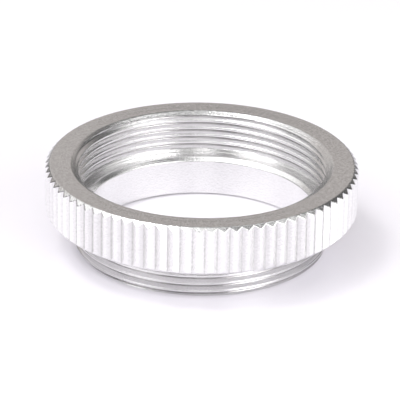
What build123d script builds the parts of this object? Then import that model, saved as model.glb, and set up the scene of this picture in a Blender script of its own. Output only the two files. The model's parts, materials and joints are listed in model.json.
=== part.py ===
from build123d import *
from math import cos, pi, sin
import os

# Knurled extension ring that screws between a small camera and its lens.
# It is turned from one bar of aluminium: a lens thread inside the top, a flange
# that the fingers grip, and a neck below it with the thread for the camera.
# Lengths are millimetres. Z is the optical axis and points towards the lens, the
# end of the neck lies on z = 0, and a crest of the knurl lies on +X.
# Each thread is its plain turned wall, before the ridges are cut.

# Thread form of both ends: 60 degrees, one inch across, 32 turns to the inch
thread_d = 25.4
thread_pitch = 0.794
inner_thread_depth_share = 0.5413   # depth of the lens thread over its pitch
outer_thread_depth_share = 0.6134   # depth of the camera thread over its pitch

# Lens end
lens_mouth_margin = 0.30     # countersink edge beyond the thread's largest radius
lens_mouth_h = 0.42          # height of that countersink
lens_seat_w = 2.05           # flat ring that the lens shoulder sits on
lens_relief_w = 0.50         # groove at the foot of the thread, where its tool runs out
lens_relief_margin = 0.05    # depth of that groove beyond the thread's largest radius
shoulder_web = 0.35          # metal between the foot of the lens thread and the neck's groove

# Knurled flange
flange_h = 5.0               # from the camera seat to the lens seat
rim_band = 0.11              # plain band of the edge bevel inside the knurl's roots
bevel_h = 0.40               # height of the edge bevel at a tooth's crest
knurl_teeth = 80
knurl_depth = 0.34
knurl_land = 0.08            # flat left on a tooth's crest

# Camera end
neck_l = 3.65                # from the camera seat to the end of the neck
neck_allowance = 0.10        # thread's crest inside its largest radius
neck_relief_w = 0.80         # groove under the flange, where the thread tool runs out
neck_relief_margin = 0.05    # depth of that groove beyond the thread's root
neck_relief_sink = 0.10      # depth of that groove into the flange, so the camera seats flat
neck_lead = 0.35             # bevel that starts the thread
neck_wall = 0.86             # between that groove and the clear bore
bore_edge = 0.15             # bevel at both ends of the clear bore

# Oversize of the turned rim and of the knurl tool, so that each cuts clear of the other
overrun = 0.20

# Radii, from the thread outwards and inwards
thread_r = thread_d / 2
lens_wall_r = thread_r - inner_thread_depth_share * thread_pitch
lens_relief_r = thread_r + lens_relief_margin
lens_mouth_r = thread_r + lens_mouth_margin
lens_seat_r = lens_mouth_r + lens_seat_w
knurl_root_r = lens_seat_r + rim_band
flange_r = knurl_root_r + knurl_depth
rim_r = flange_r + overrun
neck_r = thread_r - neck_allowance
neck_relief_r = neck_r - outer_thread_depth_share * thread_pitch - neck_relief_margin
camera_seat_start_r = neck_r + neck_relief_margin
bore_r = neck_relief_r - neck_wall

# Heights
camera_seat_z = neck_l
lens_seat_z = camera_seat_z + flange_h
neck_relief_top_z = camera_seat_z + neck_relief_sink
shoulder_z = neck_relief_top_z + shoulder_web
lens_thread_foot_z = shoulder_z + lens_relief_w
lens_wall_top_z = lens_seat_z - lens_mouth_h
rim_bevel_h = bevel_h * (rim_r - lens_seat_r) / (flange_r - lens_seat_r)


def turned_ring():
    """Half section of the ring before knurling, turned once round the optical axis."""
    neck = [
        (bore_r, bore_edge),
        (bore_r + bore_edge, 0),
        (neck_r - neck_lead, 0),
        (neck_r, neck_lead),
        (neck_r, camera_seat_z - neck_relief_w),
        (neck_relief_r, camera_seat_z - neck_relief_w),
        (neck_relief_r, neck_relief_top_z),
    ]
    flange = [
        (camera_seat_start_r, neck_relief_top_z),
        (camera_seat_start_r, camera_seat_z),
        (lens_seat_r, camera_seat_z),
        (rim_r, camera_seat_z + rim_bevel_h),
        (rim_r, lens_seat_z - rim_bevel_h),
        (lens_seat_r, lens_seat_z),
    ]
    lens_end = [
        (lens_mouth_r, lens_seat_z),
        (lens_wall_r, lens_wall_top_z),
        (lens_wall_r, lens_thread_foot_z),
        (lens_relief_r, lens_thread_foot_z),
        (lens_relief_r, shoulder_z),
        (bore_r + bore_edge, shoulder_z),
        (bore_r, shoulder_z - bore_edge),
    ]
    section = Polyline(neck + flange + lens_end, close=True)
    return revolve(make_face(Plane.XZ * section), Axis.Z)


def knurl_corner(radius, turn):
    """Corner of the knurl's plan at a radius and an angle in radians."""
    return radius * cos(turn), radius * sin(turn)


def knurl_prism():
    """Upright prism of the knurl: each tooth has two crest corners, and a root follows it."""
    tooth_turn = 2 * pi / knurl_teeth
    land_turn = knurl_land / flange_r
    corners = []
    for tooth in range(knurl_teeth):
        crest_turn = tooth * tooth_turn
        corners.append(knurl_corner(flange_r, crest_turn - land_turn / 2))
        corners.append(knurl_corner(flange_r, crest_turn + land_turn / 2))
        corners.append(knurl_corner(knurl_root_r, crest_turn + tooth_turn / 2))
    plan = make_face(Polyline(corners, close=True))
    return Pos(0, 0, -overrun) * extrude(plan, lens_seat_z + 2 * overrun)


adapter_ring = turned_ring() & knurl_prism()
adapter_ring.label = "adapter_ring"

os.makedirs("parts", exist_ok=True)
export_step(adapter_ring, "parts/adapter_ring.step")
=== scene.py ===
# %% [markdown]
# # A knurled lens mount adapter ring
#
# The real ring is one turned piece of aluminium: a knurled flange, a fine thread
# inside its top for the lens, and a fine thread on the neck below for the camera.
# The imported solid already has every size that matters, so this lesson only adds the thread
# ridges, softened edges and satin metal surface that a lathe and an anodising bath leave
# behind, and painted light and shade on that metal. The first cell loads that solid as the frame.

# %% Load the frame
import json
import math

import bmesh
import bpy
import numpy as np
from mathutils import Matrix, Vector


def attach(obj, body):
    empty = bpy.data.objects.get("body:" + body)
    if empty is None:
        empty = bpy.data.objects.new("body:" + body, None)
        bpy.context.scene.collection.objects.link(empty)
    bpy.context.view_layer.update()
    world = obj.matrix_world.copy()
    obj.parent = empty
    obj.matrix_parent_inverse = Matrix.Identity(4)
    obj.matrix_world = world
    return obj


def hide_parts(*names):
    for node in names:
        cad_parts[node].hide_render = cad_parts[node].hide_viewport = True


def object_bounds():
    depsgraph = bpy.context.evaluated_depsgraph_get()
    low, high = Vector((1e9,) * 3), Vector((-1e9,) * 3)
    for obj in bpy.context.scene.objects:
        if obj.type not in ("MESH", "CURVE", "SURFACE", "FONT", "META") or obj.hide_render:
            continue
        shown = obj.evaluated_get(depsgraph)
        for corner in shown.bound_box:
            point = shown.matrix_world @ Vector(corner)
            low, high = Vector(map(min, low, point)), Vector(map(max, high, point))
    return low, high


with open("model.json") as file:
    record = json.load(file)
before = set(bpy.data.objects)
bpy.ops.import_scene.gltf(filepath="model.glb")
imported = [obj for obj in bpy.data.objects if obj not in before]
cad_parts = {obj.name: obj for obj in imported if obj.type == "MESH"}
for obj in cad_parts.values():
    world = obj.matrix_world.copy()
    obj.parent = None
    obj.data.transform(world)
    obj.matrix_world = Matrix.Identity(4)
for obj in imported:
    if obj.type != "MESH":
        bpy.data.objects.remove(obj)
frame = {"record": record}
cad_low, cad_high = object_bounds()
MM = 0.001
print("CAD box in mm:", [round(side / MM, 3) for side in cad_high - cad_low])

# %% [markdown]
# ## Sizes that come from the frame
#
# Each interface of the ring is a mount in the record, with its radius, its length
# and its place on the axis. Reading them here keeps the new surface on the solid:
# if the solid changes, the surface follows, and no size is typed twice.

# %% Read the sizes
mounts = {mount["name"]: mount for mount in frame["record"]["mounts"]}


def wall(name):
    """Radius, lower end and upper end of a round wall, in metres: its middle, and half of
    its length to either side."""
    radius = mounts[name]["dims"]["r_mm"] * MM
    half = mounts[name]["dims"]["length_mm"] * MM / 2
    middle = mounts[name]["pos_m"][2]
    return radius, middle - half, middle + half


lens_wall_r, lens_foot_z, lens_wall_top_z = wall("lens_thread")
neck_r, neck_lead_z, neck_thread_top_z = wall("camera_thread")
bore_r, bore_low_z, bore_high_z = wall("clear_bore")
lens_seat_z = mounts["lens_seat"]["pos_m"][2]
camera_seat_z = mounts["camera_seat"]["pos_m"][2]
flange_r = cad_high.x
print("flange radius %.2f mm, height %.2f mm" % (flange_r / MM, lens_seat_z / MM))

# %% [markdown]
# ## Sizes that the photograph adds
#
# The knurl has one tooth about every 1.2 mm. Both threads have the standard form:
# flanks 60 degrees apart, with a flat of an eighth of the pitch at the root and a
# quarter of it on the crest. The bore opens in a wide lead, and the lens thread ends
# in a small one. The edge break is the tiny bevel that tumbling and anodising leave
# on a machined edge, and it is what catches the light.

# %% Name the remaining sizes
teeth = 80
tooth_depth = 0.34 * MM
tooth_land = 0.08 * MM
tooth_root_flat = 0.05 * MM
rim_band = 0.11 * MM
bevel_h = 0.40 * MM
pitch = 0.794 * MM
thread_root_r = 12.70 * MM
neck_thread_depth = 0.487 * MM
lens_mouth_r = 13.00 * MM
lens_relief_r = 12.75 * MM
groove_below_root = 0.05 * MM
groove_above_seat = 0.10 * MM
groove_beside_neck = 0.05 * MM
bore_lead = 0.38 * MM
thread_end_break = 0.08 * MM
edge_break = 0.05 * MM
edge_margin = 0.03 * MM

tooth_root_r = flange_r - tooth_depth
rim_r = tooth_root_r - rim_band
bevel_slope = bevel_h / (flange_r - rim_r)
neck_root_r = neck_r - neck_thread_depth
neck_relief_r = neck_root_r - groove_below_root
neck_relief_top_z = camera_seat_z + groove_above_seat
camera_seat_start_r = neck_r + groove_beside_neck
bore_edge = bore_low_z
shoulder_z = bore_high_z + bore_edge
lens_mouth_slope = (lens_mouth_r - lens_wall_r) / (lens_seat_z - lens_wall_top_z)
print("rim %.2f mm, shoulder at %.2f mm" % (rim_r / MM, shoulder_z / MM))

# %% [markdown]
# ## Where the columns of the surface stand
#
# The ring is one surface over two parameters: the turn round the axis, and the
# path round the half section. A tooth needs a column on each corner of its crest
# and of its root, so the rows of the rim follow the knurl. All other rows spread
# the same number of columns evenly, which keeps round walls smooth. The flat faces
# between them take up the difference, and the last column closes the turn.

# %% Lay out the columns
tooth_turn = 2 * math.pi / teeth
land_share = tooth_land / (flange_r * tooth_turn)
root_share = tooth_root_flat / (tooth_root_r * tooth_turn)
crest_edge, root_edge = land_share / 2, 0.5 - root_share / 2
tooth_columns = np.array([-crest_edge, crest_edge, root_edge, 1 - root_edge])
knurl_turn = (np.arange(teeth)[:, None] + tooth_columns).ravel() * tooth_turn
knurl_turn = np.append(knurl_turn, knurl_turn[0] + 2 * math.pi)
turn = np.linspace(knurl_turn[0], knurl_turn[-1], len(knurl_turn))


def knurl_radius(angle):
    """Radius of the knurl: flat on the crest, flat at the root, straight between them."""
    share = np.abs((angle / tooth_turn + 0.5) % 1 - 0.5)
    return np.interp(share, [crest_edge, root_edge], [flange_r, tooth_root_r])


print("columns:", len(turn))

# %% [markdown]
# ## A thread as rows that climb
#
# A thread could be bump, but a visible ridge belongs in the mesh. On an upright
# grid the ridge would cut across the rows and look torn, so each row climbs one
# pitch in one turn instead. Along such a row the depth of the thread stays the
# same, and the ridge comes out clean with few rows. Rows that climb out of the
# thread's stretch are held at its end, where they fall together and are merged.

# %% Thread form and thread rows
root_flat_share, crest_flat_share = 1 / 8, 1 / 4
round_share, round_samples, corner_rows = 0.09, 9, 4
root_corner, crest_corner = root_flat_share / 2, 0.5 - crest_flat_share / 2


def thread_depth(share):
    """Depth over one pitch, 1 at the root and 0 on the crest: a trapezium round share 0,
    averaged over a short window, which rounds its corners."""
    window = np.linspace(-round_share / 2, round_share / 2, round_samples)
    away = np.abs((share[..., None] + window + 0.5) % 1 - 0.5)
    slope = (crest_corner - away) / (crest_corner - root_corner)
    return np.clip(slope, 0, 1).mean(-1)


def row_shares():
    """Places of the rows in one pitch: some round each corner, one half way up each flank."""
    corners = np.array([root_corner, crest_corner, 1 - crest_corner, 1 - root_corner])
    around = np.linspace(-round_share / 2, round_share / 2, corner_rows)
    middle = (root_corner + crest_corner) / 2
    return np.sort(np.append((corners[:, None] + around).ravel(), [middle, 1 - middle]))


def thread_rows(root_z, low_z, high_z, crest_r, root_r):
    """Rows of a right-hand thread between two heights, from the bottom up. A row's height is
    root_z + pitch * (its share + turn / full turn), held between the two heights, and its
    radius goes from crest_r to root_r by the depth of the thread there."""
    climb = turn / (2 * math.pi)
    first = math.floor((low_z - root_z) / pitch - climb.max()) - 1
    last = math.ceil((high_z - root_z) / pitch - climb.min()) + 1
    shares = (np.arange(first, last)[:, None] + row_shares()).ravel()
    z = np.clip(root_z + pitch * (shares[:, None] + climb), low_z, high_z)
    depth = thread_depth((z - root_z) / pitch - climb)
    used = (z > low_z).any(1) & (z < high_z).any(1)
    used |= np.roll(used, 1) | np.roll(used, -1)
    return (crest_r + (root_r - crest_r) * depth)[used], z[used]


print("rows in one pitch:", len(row_shares()))

# %% [markdown]
# ## Plain turned stretches
#
# Between the threads and the knurl the section is straight lines, so its corners
# are enough. Each corner is cut back a little along both of its sides. That edge
# break is smaller than a hair, but a machined edge without one looks drawn. One
# more row just behind it keeps the flat beside the edge evenly lit.

# %% Plain rows with broken edges
cut_limit, margin_limit = 0.25, 0.40


def eased(corners):
    """Corners of a path with each inner corner replaced by four points: an edge break away
    from it along each side, and a margin further, or a limited share of a short side. The
    two ends are left out."""
    path = np.array(corners)
    back, ahead = path[:-2] - path[1:-1], path[2:] - path[1:-1]
    back_l = np.linalg.norm(back, axis=1, keepdims=True)
    ahead_l = np.linalg.norm(ahead, axis=1, keepdims=True)
    cut, margin = edge_break, edge_break + edge_margin
    points = [
        path[1:-1] + back * np.minimum(margin / back_l, margin_limit),
        path[1:-1] + back * np.minimum(cut / back_l, cut_limit),
        path[1:-1] + ahead * np.minimum(cut / ahead_l, cut_limit),
        path[1:-1] + ahead * np.minimum(margin / ahead_l, margin_limit),
    ]
    return np.stack(points, axis=1).reshape(-1, 2)


def plain_rows(corners):
    """Rows of constant radius and height, one for each point of the eased path."""
    path = eased(corners)
    flat = np.ones_like(turn)
    return path[:, :1] * flat, path[:, 1:] * flat


inside = plain_rows([
    (lens_wall_r + thread_end_break, lens_foot_z),
    (lens_relief_r, lens_foot_z),
    (lens_relief_r, shoulder_z),
    (bore_r + bore_lead, shoulder_z),
    (bore_r, shoulder_z - bore_lead),
    (bore_r, bore_edge),
    (bore_r + bore_edge, 0.0),
    (neck_r - neck_lead_z, 0.0),
])
groove = plain_rows([
    (neck_r, neck_thread_top_z),
    (neck_relief_r, neck_thread_top_z),
    (neck_relief_r, neck_relief_top_z),
    (camera_seat_start_r, neck_relief_top_z),
    (camera_seat_start_r, camera_seat_z),
    (rim_r, camera_seat_z),
])
rim_foot = plain_rows([
    (camera_seat_start_r, camera_seat_z),
    (rim_r, camera_seat_z),
    (flange_r, camera_seat_z + bevel_h),
])
rim_top = plain_rows([
    (flange_r, lens_seat_z - bevel_h),
    (rim_r, lens_seat_z),
    (lens_mouth_r, lens_seat_z),
])
mouth = plain_rows([
    (rim_r, lens_seat_z),
    (lens_mouth_r, lens_seat_z),
    (lens_wall_r, lens_wall_top_z),
])
print("plain rows:", sum(len(rows[0]) for rows in (inside, groove, rim_foot, rim_top, mouth)))

# %% [markdown]
# ## The two threads
#
# A lens thread opens in a countersink, which cuts the first ridges away, so its
# radius is never less than the cone's. At its lower end a small bevel breaks the last
# ridge in the same way. The neck starts in a bevel, so its radius is never more. The
# height of a root on the +X side sets how each thread is timed. It follows from one
# dark line of the photograph: how far below the seat it lies, and at which turn.
# The depth in the groove is kept for every point, because the painted shade of the grooves follows
# it.

# %% Cut the threads
lens_root_below, lens_root_turn = 0.53 * MM, 76.4
neck_root_below, neck_root_turn = 6.82 * MM, -89.3


def root_height(below_seat, degrees):
    """Height of a root on the +X side: the seat, less how far below it the root lies at the
    given turn, less what the thread climbs on the way there."""
    return lens_seat_z - below_seat - pitch * degrees / 360


def groove_share(r, crest_r, root_r):
    """Depth in the groove of a thread: 0 on the crest, 1 at the root."""
    return (r - crest_r) / (root_r - crest_r)


lens_root_z = root_height(lens_root_below, lens_root_turn)
lens_top_z = mouth[1].min()
lens_r, lens_z = thread_rows(lens_root_z, lens_foot_z, lens_top_z, lens_wall_r, thread_root_r)
lens_cone_r = lens_mouth_r - (lens_seat_z - lens_z) * lens_mouth_slope
lens_depth = np.where(lens_r > lens_cone_r, groove_share(lens_r, lens_wall_r, thread_root_r), 0)
lens_r = np.maximum(lens_r, lens_cone_r)
lens_r = np.maximum(lens_r, lens_wall_r + thread_end_break - (lens_z - lens_foot_z))

neck_root_z = root_height(neck_root_below, neck_root_turn)
neck_rows_r, neck_z = thread_rows(neck_root_z, 0.0, neck_thread_top_z, neck_r, neck_root_r)
neck_cone_r = neck_r - neck_lead_z + neck_z
neck_depth = np.where(neck_rows_r < neck_cone_r, groove_share(neck_rows_r, neck_r, neck_root_r), 0)
neck_rows_r = np.minimum(neck_rows_r, neck_cone_r)
print("rows of lens thread %d, of neck thread %d" % (len(lens_z), len(neck_z)))

# %% [markdown]
# ## The knurled rim
#
# A tooth meets the bevel of the rim in a slanting edge: the bevel is a cone, so it
# reaches further down on a crest than in a root. The height of that edge is worked
# out from the radius of each column, and this makes the zigzag line of the photo.
# Here too the depth between the teeth is kept, as 0 on a crest and 1 in a root.

# %% Rows of the rim
knurl_r = knurl_radius(knurl_turn)
bevel_r = knurl_r - np.array([[edge_break + edge_margin], [edge_break]])
bevel_drop = bevel_slope * (bevel_r - rim_r)
side_drop = bevel_slope * (knurl_r - rim_r) + np.array([[edge_break], [edge_break + edge_margin]])
side_r = np.broadcast_to(knurl_r, side_drop.shape)
drop = np.concatenate([bevel_drop, side_drop])
rim_rows_r = np.concatenate([bevel_r, side_r, side_r, bevel_r[::-1]])
rim_rows_z = np.concatenate([camera_seat_z + drop, lens_seat_z - drop[::-1]])
knurl_depth = (flange_r - side_r) / tooth_depth
rim_depth = np.concatenate([0 * bevel_r, knurl_depth, knurl_depth, 0 * bevel_r])
print("zigzag of the bevel: %.2f mm" % (np.ptp(side_drop[0]) / MM))

# %% [markdown]
# ## One surface round the section
#
# The rows run once round the half section: down the bore, out and up the neck,
# under the flange, up the rim, across the seat and down the lens thread. Joining the
# last row to the first closes the ring. The grid becomes a mesh in one call, and
# merging points that fall together closes the seam and the ends of the threads. Where
# a root runs into the groove at the end of its thread, a sliver 0.03 mm wide stays
# folded flat, and the count of odd edges shows it. The depth in a groove goes along as
# an attribute of the points, which the metal can read.

# %% Build the ring
merge_distance = 0.0002 * MM
smooth_below = math.radians(27)


def flush(rows):
    """Plain rows with a depth of 0 all over."""
    return (*rows, 0 * rows[1])


stretches = [
    (turn, *flush(inside)),
    (turn, neck_rows_r, neck_z, neck_depth),
    (turn, *flush(groove)),
    (knurl_turn, *flush(rim_foot)),
    (knurl_turn, rim_rows_r, rim_rows_z, rim_depth),
    (knurl_turn, *flush(rim_top)),
    (turn, *flush(mouth)),
    (turn, lens_r[::-1], lens_z[::-1], lens_depth[::-1]),
]
points = np.concatenate([
    np.stack([r * np.cos(angle), r * np.sin(angle), z], axis=-1) for angle, r, z, _ in stretches
])
depths = np.concatenate([depth for *_, depth in stretches])
rows, columns = points.shape[:2]
number = np.arange(rows * columns).reshape(rows, columns)
above = np.roll(number, -1, axis=0)
quads = np.stack([number[:, :-1], number[:, 1:], above[:, 1:], above[:, :-1]], axis=-1)


def ring_mesh(name):
    """Mesh of the grid, with points that coincide merged and faces turned outwards."""
    mesh = bpy.data.meshes.new(name)
    mesh.from_pydata(points.reshape(-1, 3), [], quads.reshape(-1, 4))
    mesh.attributes.new("depth", "FLOAT", "POINT").data.foreach_set("value", depths.ravel())
    work = bmesh.new()
    work.from_mesh(mesh)
    bmesh.ops.remove_doubles(work, verts=work.verts, dist=merge_distance)
    bmesh.ops.dissolve_degenerate(work, edges=work.edges, dist=merge_distance)
    bmesh.ops.recalc_face_normals(work, faces=work.faces)
    odd_edges = sum(not edge.is_manifold for edge in work.edges)
    work.to_mesh(mesh)
    work.free()
    mesh.polygons.foreach_set("use_smooth", np.ones(len(mesh.polygons), bool))
    mesh.set_sharp_from_angle(angle=smooth_below)
    print("faces %d, edges not between two faces %d" % (len(mesh.polygons), odd_edges))
    return mesh


ring = bpy.data.objects.new("threaded_ring", ring_mesh("threaded_ring"))
bpy.context.scene.collection.objects.link(ring)
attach(ring, "root")
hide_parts("adapter_ring")

# %% [markdown]
# ## Shader sums as Python
#
# A finish is a formula over the surface, and formulas read best as formulas. This
# small class wraps one socket. Adding or multiplying two of them adds a Math node,
# and its method node() adds any other node, settings first and then its inputs.


# %% A socket with arithmetic
class Wire:
    """One socket of a node tree."""

    def __init__(self, tree, socket=None):
        self.tree = tree
        self.socket = socket

    def node(self, kind, settings=None, inputs=None, output=0):
        """New node of a kind, with its settings and then its inputs, as one of its outputs."""
        made = self.tree.nodes.new(kind)
        for name, value in (settings or {}).items():
            setattr(made, name, value)
        for name, value in (inputs or {}).items():
            if isinstance(value, Wire):
                self.tree.links.new(value.socket, made.inputs[name])
            else:
                made.inputs[name].default_value = value
        return Wire(self.tree, made.outputs[output] if made.outputs else None)

    def other(self, output):
        """Another output of the same node."""
        return Wire(self.tree, self.socket.node.outputs[output])

    def math(self, operation, *values):
        return self.node("ShaderNodeMath", {"operation": operation}, dict(enumerate(values)))

    def smooth(self, low, high):
        """0 below low, 1 above high, and an S-shaped step between them."""
        limits = {"Value": self, "From Min": low, "From Max": high}
        return self.node("ShaderNodeMapRange", {"interpolation_type": "SMOOTHSTEP"}, limits)

    def mixed(self, low, high):
        """Colour between two colours, by this value from 0 to 1."""
        values = {0: self, 6: low, 7: high}
        return self.node("ShaderNodeMix", {"data_type": "RGBA"}, values, output=2)

    def __add__(self, value):
        return self.math("ADD", self, value)

    def __radd__(self, value):
        return self.math("ADD", value, self)

    def __sub__(self, value):
        return self.math("SUBTRACT", self, value)

    def __rsub__(self, value):
        return self.math("SUBTRACT", value, self)

    def __mul__(self, value):
        return self.math("MULTIPLY", self, value)

    def __rmul__(self, value):
        return self.math("MULTIPLY", value, self)

    def __pow__(self, value):
        return self.math("POWER", self, value)


def new_tree(owner):
    """Empty node tree of a material or a world."""
    owner.use_nodes = True
    owner.node_tree.nodes.clear()
    return Wire(owner.node_tree)


print("operators: + - * **")

# %% [markdown]
# ## One finish, made in several ways
#
# The whole ring went through one bath, but its stretches were made in different ways:
# the bore is the smoothest, the knurl is rolled, and the threads are cut clean. A mask
# is 1 on such a stretch and 0 elsewhere. It could be painted, but the ring is round, so
# the distance to the axis and the height are enough to tell the stretches apart.


# %% Masks of the stretches
# The masks of the bore, the lens thread, the neck and its foot also place painted light and
# painted shade.
def ring_masks(from_axis, z):
    """Masks of the knurl, the bore, the neck, the foot of the neck and the lens thread, each
    a product of smooth steps over the distance to the axis and over the height."""
    knurled = from_axis.smooth(rim_r, tooth_root_r)
    bored = 1 - from_axis.smooth(bore_r, bore_r + bore_edge)
    necked = (1 - bored) * (1 - z.smooth(camera_seat_z - edge_break, camera_seat_z))
    footed = (1 - bored) * (1 - z.smooth(neck_lead_z / 2, neck_lead_z))
    threaded = z.smooth(camera_seat_z, shoulder_z) * (1 - from_axis.smooth(lens_relief_r, rim_r))
    threaded = threaded * (1 - z.smooth(lens_wall_top_z - edge_break, lens_wall_top_z))
    return knurled, bored, necked, footed, threaded


print("masks: knurl, bore, neck, foot of the neck, lens thread")

# %% [markdown]
# ## Painted shade in the grooves
#
# The bottom of a groove gets little light, so the thin dark lines between the ridges of a
# thread and between the teeth of the knurl are painted shade. A thread climbs, so its lines
# can't follow the height. They follow the depth that the mesh carries. The neck under the
# flange and the foot, which meets the table, get a little painted shade too.

# %% Painted shade in the grooves
# Colour of the painted shade, and how much of it lies in the grooves, on the neck and on its foot.
painted_shade = (0.16, 0.15, 0.15, 1)
thread_line, thread_line_share = (0.78, 1.0), 0.42
knurl_shade, knurl_shade_share = (0.2, 0.7), 0.14
knurl_line, knurl_line_share = (0.88, 1.0), 0.20
neck_painted_shade, foot_painted_shade = 0.03, 0.12


def painted_shade_share(depth, knurled, necked, footed):
    """How much painted shade covers the metal: a step near the root of a thread, a shade and a
    thinner line in the root of the knurl, and a little all over the neck and its foot."""
    in_thread = depth.smooth(*thread_line) * thread_line_share
    in_knurl = depth.smooth(*knurl_shade) * knurl_shade_share
    in_knurl = in_knurl + depth.smooth(*knurl_line) * knurl_line_share
    in_groove = in_thread + (in_knurl - in_thread) * knurled
    return in_groove + necked * neck_painted_shade + footed * foot_painted_shade


print("residue at a thread's root %.2f, at a tooth's %.2f" % (
    thread_line_share, knurl_shade_share + knurl_line_share))

# %% [markdown]
# ## Satin anodised aluminium
#
# Clear anodising leaves bare-looking metal with a fine grain of about 0.2 mm, and the
# tool's turning marks show faintly through it. The grain is noise in space, and shows as
# flecks of lighter and darker metal as well as bump. The turning marks are noise over
# radius and height only, so they run in rings round the axis. They fade out in the bore
# and on the knurl, which is rolled after turning. The cut threads have less grain and
# are a little rougher. The bore is painted lightest and the lens thread a little lighter,
# as painted light, and the neck under the flange darker, as painted shade.

# %% Metal of the ring
metal_light, metal_dark = (0.92, 0.915, 0.915, 1), (0.79, 0.785, 0.785, 1)
metal_middle = 0.4
grain_size, mark_size, patch_size = 0.19 * MM, 0.10 * MM, 3.0 * MM
fleck_edges, fleck_share, patch_share = (0.32, 0.68), 0.95, 0.2
fleck_less_in_bore, fleck_less_on_knurl, fleck_less_on_cut = 0.6, 0.4, 0.5
# Painted light on the bore and the lens thread, painted shade on the neck under the flange.
bore_painted_light, thread_painted_light, neck_metal_painted_shade = 0.35, 0.15, 0.5
grain_relief, mark_relief, relief_less_on_cut = 0.7, 0.4, 0.6
relief_height, relief_strength = 0.045 * MM, 0.9
gloss, grain_rougher, patch_rougher, cut_rougher = 0.15, 0.06, 0.04, 0.03


def noise(tree, vector, size, dimensions="3D", detail=2.0):
    """Noise from 0 to 1 whose patches are about as wide as size, in metres."""
    values = {"Vector": vector, "Scale": 1 / size, "Detail": detail}
    return tree.node("ShaderNodeTexNoise", {"noise_dimensions": dimensions}, values)


def satin_aluminium():
    """Metal between dark and light by the flecks of the grain, slow patches and the painted light
    and shade of the masks, and then towards painted shade by the depth in a groove. Grain and
    turning marks are its bump, and grain and patches vary its roughness."""
    material = bpy.data.materials.new("satin_aluminium")
    tree = new_tree(material)
    place = tree.node("ShaderNodeTexCoord", output="Object")
    x = tree.node("ShaderNodeSeparateXYZ", None, {"Vector": place})
    y, z = x.other("Y"), x.other("Z")
    from_axis = (x * x + y * y) ** 0.5
    knurled, bored, necked, footed, threaded = ring_masks(from_axis, z)
    cut = necked + threaded

    section = tree.node("ShaderNodeCombineXYZ", None, {"X": from_axis, "Y": z})
    marks = (noise(tree, section, mark_size, "2D") - 0.5) * ((1 - bored) * (1 - knurled))
    grain = noise(tree, place, grain_size)
    patches = noise(tree, place, patch_size)
    relief = (grain * grain_relief + marks * mark_relief) * (1 - cut * relief_less_on_cut)
    bump = {"Height": relief, "Strength": relief_strength, "Distance": relief_height}

    fleck = (grain.smooth(*fleck_edges) - 0.5) * (1 - bored * fleck_less_in_bore)
    fleck = fleck * (1 - knurled * fleck_less_on_knurl) * (1 - cut * fleck_less_on_cut)
    # Painted light and shade: lighter on the bore and the lens thread, darker on the neck under
    # the flange.
    painted_light_and_shade = bored * bore_painted_light + threaded * thread_painted_light - necked * neck_metal_painted_shade
    lightness = metal_middle + fleck * fleck_share + patches * patch_share + painted_light_and_shade
    metal = lightness.mixed(metal_dark, metal_light)
    depth = tree.node("ShaderNodeAttribute", {"attribute_name": "depth"}, output="Fac")
    surface = tree.node("ShaderNodeBsdfPrincipled", None, {
        "Base Color": painted_shade_share(depth, knurled, necked, footed).mixed(metal, painted_shade),
        "Metallic": 1.0,
        "Roughness": gloss + grain * grain_rougher + patches * patch_rougher + cut * cut_rougher,
        "Normal": tree.node("ShaderNodeBump", None, bump),
    })
    tree.node("ShaderNodeOutputMaterial", None, {"Surface": surface})
    return material


ring.data.materials.append(satin_aluminium())
print("material:", ring.data.materials[0].name)

# %% [markdown]
# ## The floor
#
# The ring stands on a white, faintly glossy sheet. A white floor needs more light
# than the metal can take, so part of its white is its own glow, which only the
# camera and mirror-like rays see. The rest is lit, so the shadow stays. Right under the
# foot of the neck, where no light gets in, the glow fades as well. Without that thin
# dark line the ring would seem to float.

# %% White floor
floor_half = 2.0
floor_z = -0.005 * MM
floor_white = (0.870, 0.847, 0.886, 1)
floor_glow = (0.175, 0.169, 0.189, 1)
no_glow = (0, 0, 0, 1)
floor_roughness = 0.15
shade_inside, shade_outside, shade_aside = 0.45 * MM, 0.4 * MM, 0.3 * MM
shade_depth = 0.5


def foot_shade(x, y):
    """Share of the glow that is lost under the foot: a smooth step up towards the bore, times
    a smooth step down past the neck, round a centre that lies a little to the left."""
    from_axis = (x * x + y * y) ** 0.5
    from_aside = ((x + shade_aside) * (x + shade_aside) + y * y) ** 0.5
    past_bore = from_axis.smooth(bore_r - shade_inside, bore_r)
    within_neck = 1 - from_aside.smooth(neck_r - shade_aside, neck_r + shade_outside)
    return past_bore * within_neck * shade_depth


def floor_material():
    """White sheet that glows for camera, glossy and transmission rays, and is clear from below."""
    material = bpy.data.materials.new("white_sheet")
    tree = new_tree(material)
    camera_ray = tree.node("ShaderNodeLightPath", output="Is Camera Ray")
    seen = camera_ray + camera_ray.other("Is Glossy Ray") + camera_ray.other("Is Transmission Ray")
    place = tree.node("ShaderNodeTexCoord", output="Object")
    x = tree.node("ShaderNodeSeparateXYZ", None, {"Vector": place})
    glow = seen.math("MINIMUM", seen, 1.0) * (1 - foot_shade(x, x.other("Y")))
    sheet = tree.node("ShaderNodeBsdfPrincipled", None, {
        "Base Color": floor_white,
        "Roughness": floor_roughness,
        "Emission Color": glow.mixed(no_glow, floor_glow),
        "Emission Strength": 1.0,
    })
    below = tree.node("ShaderNodeNewGeometry", output="Backfacing")
    clear = tree.node("ShaderNodeBsdfTransparent")
    faced = tree.node("ShaderNodeMixShader", None, {0: below, 1: sheet, 2: clear})
    tree.node("ShaderNodeOutputMaterial", None, {"Surface": faced})
    return material


def floor_mesh():
    """One square, facing up."""
    side = np.array([-floor_half, floor_half])
    x, y = np.meshgrid(side, side)
    corners = np.stack([x, y, np.full_like(x, floor_z)], axis=-1).reshape(-1, 3)
    mesh = bpy.data.meshes.new("floor")
    mesh.from_pydata(corners, [], [(0, 1, 3, 2)])
    return mesh


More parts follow.
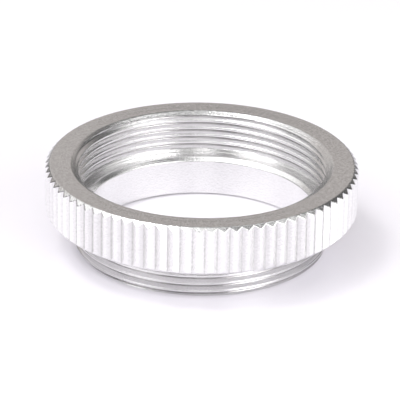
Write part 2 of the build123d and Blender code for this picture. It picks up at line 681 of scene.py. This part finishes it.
floor = bpy.data.objects.new("floor", floor_mesh())
bpy.context.scene.collection.objects.link(floor)
floor.data.materials.append(floor_material())
print("floor at z = %.4f mm" % (floor_z / MM))

# %% [markdown]
# ## The tent round the set
#
# Polished metal shows its surroundings, so the surroundings are part of the look.
# The ring stands in a dark cloth tent. A grey wall behind it is what the top face
# mirrors, and pale cards all round are what the knurl, the bore and the threads mirror.
# A card is a round patch of the dome with a soft edge, and where it hangs follows from
# the highlights. The dome is hidden from the camera, which sees the white world past it.

# %% Tent
tent_r = 0.7
tent_foot = -0.05
tent_dark = 0.10
tent_wall = (0.415, 0.384, 0.369)
wall_middle = (-0.17, 0.985, 0.0)
wall_sides, wall_foot, wall_top = (0.50, 0.74), (0.14, 0.34), (0.62, 0.78)
cards = [
    # direction from the ring, full inside, nothing outside in degrees, brightness
    ((-0.63, 0.14, 0.76), 16, 36, 1.05),
    ((-0.49, -0.42, 0.77), 13, 31, 1.1),
    ((-0.72, -0.55, 0.42), 11, 27, 1.4),
    ((-0.04, -0.41, 0.91), 8, 16, 0.75),
    ((0.00, -0.92, 0.38), 6, 14, 0.8),
    ((-0.03, -0.82, 0.57), 5, 13, 2.0),
    ((0.04, -0.56, 0.82), 9, 28, 0.4),
    ((0.66, -0.60, 0.46), 15, 30, 1.8),
    ((0.68, -0.72, 0.12), 10, 21, 4.4),
    ((0.86, -0.12, 0.49), 11, 26, 0.95),
    ((0.42, 0.13, 0.90), 6, 17, 1.5),
    ((-0.03, 0.11, 0.99), 7, 15, 0.8),
    ((-0.34, 0.92, 0.19), 8, 20, 0.15),
]


def dome_mesh(name, around=64, up=24):
    """Upper half of a sphere as a grid over turn and lift, facing inwards: its radius times
    (cos lift * cos turn, cos lift * sin turn, sin lift)."""
    turns, lifts = np.linspace(0, 2 * math.pi, around + 1), np.linspace(tent_foot, math.pi / 2, up)
    a, b = np.meshgrid(turns, lifts)
    shell = np.stack([np.cos(b) * np.cos(a), np.cos(b) * np.sin(a), np.sin(b)], axis=-1)
    index = np.arange(a.size).reshape(a.shape)
    faces = np.stack([index[:-1, :-1], index[1:, :-1], index[1:, 1:], index[:-1, 1:]], axis=-1)
    mesh = bpy.data.meshes.new(name)
    mesh.from_pydata((shell * tent_r).reshape(-1, 3), [], faces.reshape(-1, 4))
    return mesh


def tent_material():
    """Cloth whose glow depends on the direction from the ring: a dark base, plus each card by
    a smooth step over the cosine of the angle to it, plus the wall by smooth steps over the
    cosine to its middle and over height."""
    material = bpy.data.materials.new("tent_cloth")
    tree = new_tree(material)
    place = tree.node("ShaderNodeTexCoord", output="Object")
    toward = tree.node("ShaderNodeVectorMath", {"operation": "NORMALIZE"}, {0: place})

    def cosine_to(direction):
        pair = {0: toward, 1: direction}
        return tree.node("ShaderNodeVectorMath", {"operation": "DOT_PRODUCT"}, pair, "Value")

    cloth = tent_dark
    for direction, inner, outer, brightness in cards:
        edges = math.cos(math.radians(outer)), math.cos(math.radians(inner))
        cloth = cloth + cosine_to(Vector(direction).normalized()).smooth(*edges) * brightness
    lift = tree.node("ShaderNodeSeparateXYZ", None, {"Vector": toward}, "Z")
    band = cosine_to(wall_middle).smooth(*wall_sides)
    band = band * lift.smooth(*wall_foot) * (1 - lift.smooth(*wall_top))
    lit = {0: band, 1: tent_wall, 2: cloth}
    glow = tree.node("ShaderNodeBsdfPrincipled", None, {
        "Base Color": no_glow,
        "Specular IOR Level": 0.0,
        "Emission Color": tree.node("ShaderNodeVectorMath", {"operation": "MULTIPLY_ADD"}, lit),
        "Emission Strength": 1.0,
    })
    tree.node("ShaderNodeOutputMaterial", None, {"Surface": glow})
    return material


tent = bpy.data.objects.new("tent", dome_mesh("tent"))
bpy.context.scene.collection.objects.link(tent)
tent.data.materials.append(tent_material())
tent.visible_camera = False
tent.visible_shadow = False
print("tent radius %.2f m, cards %d" % (tent_r, len(cards)))

# %% [markdown]
# ## Lamp and world
#
# One round lamp hangs in the tent, high on the left, and makes the shadow to the
# right. The shadow's soft edge is about 2.5 mm wide, and that gives the size of the
# lamp. Its strength is given as the light that it throws on the ring, and the power
# follows from its distance. The white world is what the camera sees past the floor.

# %% Lamp
lamp_distance = 0.45


def soft_lamp(name, direction, half_width, light):
    """Round lamp that faces the ring, as wide as twice half_width in degrees. Light on a
    surface that faces it is power / (pi * distance squared)."""
    data = bpy.data.lights.new(name, "AREA")
    data.shape = "DISK"
    data.size = 2 * lamp_distance * math.tan(math.radians(half_width))
    data.energy = light * math.pi * lamp_distance ** 2
    lamp = bpy.data.objects.new(name, data)
    bpy.context.scene.collection.objects.link(lamp)
    toward = Vector(direction).normalized()
    lamp.location = toward * lamp_distance
    lamp.rotation_euler = toward.to_track_quat("Z", "Y").to_euler()


soft_lamp("key_lamp", direction=(-0.36, -0.04, 0.93), half_width=8, light=0.58)

world = bpy.data.worlds.new("white_room")
bpy.context.scene.world = world
room = new_tree(world)
white = room.node("ShaderNodeBackground", None, {"Color": (1, 1, 1, 1), "Strength": 1.0})
room.node("ShaderNodeOutputWorld", None, {"Surface": white})
bpy.context.scene.view_settings.view_transform = "Standard"
print("lamps:", [light.name for light in bpy.data.lights])

# %% [markdown]
# ## The camera
#
# The ellipses of the rim and of the bore give the camera: how flat they are gives
# the height of the view, and how much the near edge outgrows the far one gives the
# distance. The centre of the seat is then put on its pixel by turning the camera a
# little, with no lens shift.

# %% Camera
image_px = 400
focal_px = 3034.2
seat_px = (201.96, 161.94)
view_distance = 300.0 * MM
azimuth, elevation, roll = (math.radians(degrees) for degrees in (0.70, 24.17, 1.0))

seat_centre = Vector((0, 0, lens_seat_z))
back = Vector((
    math.sin(azimuth) * math.cos(elevation),
    -math.cos(azimuth) * math.cos(elevation),
    math.sin(elevation),
))
camera_data = bpy.data.cameras.new("camera")
camera_data.sensor_width = 36.0
camera_data.lens = camera_data.sensor_width * focal_px / image_px
camera_data.clip_start, camera_data.clip_end = 0.01, 10.0
camera = bpy.data.objects.new("camera", camera_data)
bpy.context.scene.collection.objects.link(camera)
aside = math.atan2(seat_px[0] - image_px / 2, focal_px)
below = math.atan2(image_px / 2 - seat_px[1], focal_px)
facing = back.to_track_quat("Z", "Y").to_matrix()
facing = facing @ Matrix.Rotation(roll, 3, "Z")
facing = facing @ Matrix.Rotation(-below, 3, "X") @ Matrix.Rotation(aside, 3, "Y")
camera.matrix_world = Matrix.Translation(seat_centre + back * view_distance) @ facing.to_4x4()
bpy.context.scene.camera = camera
print("lens %.1f mm" % camera_data.lens)
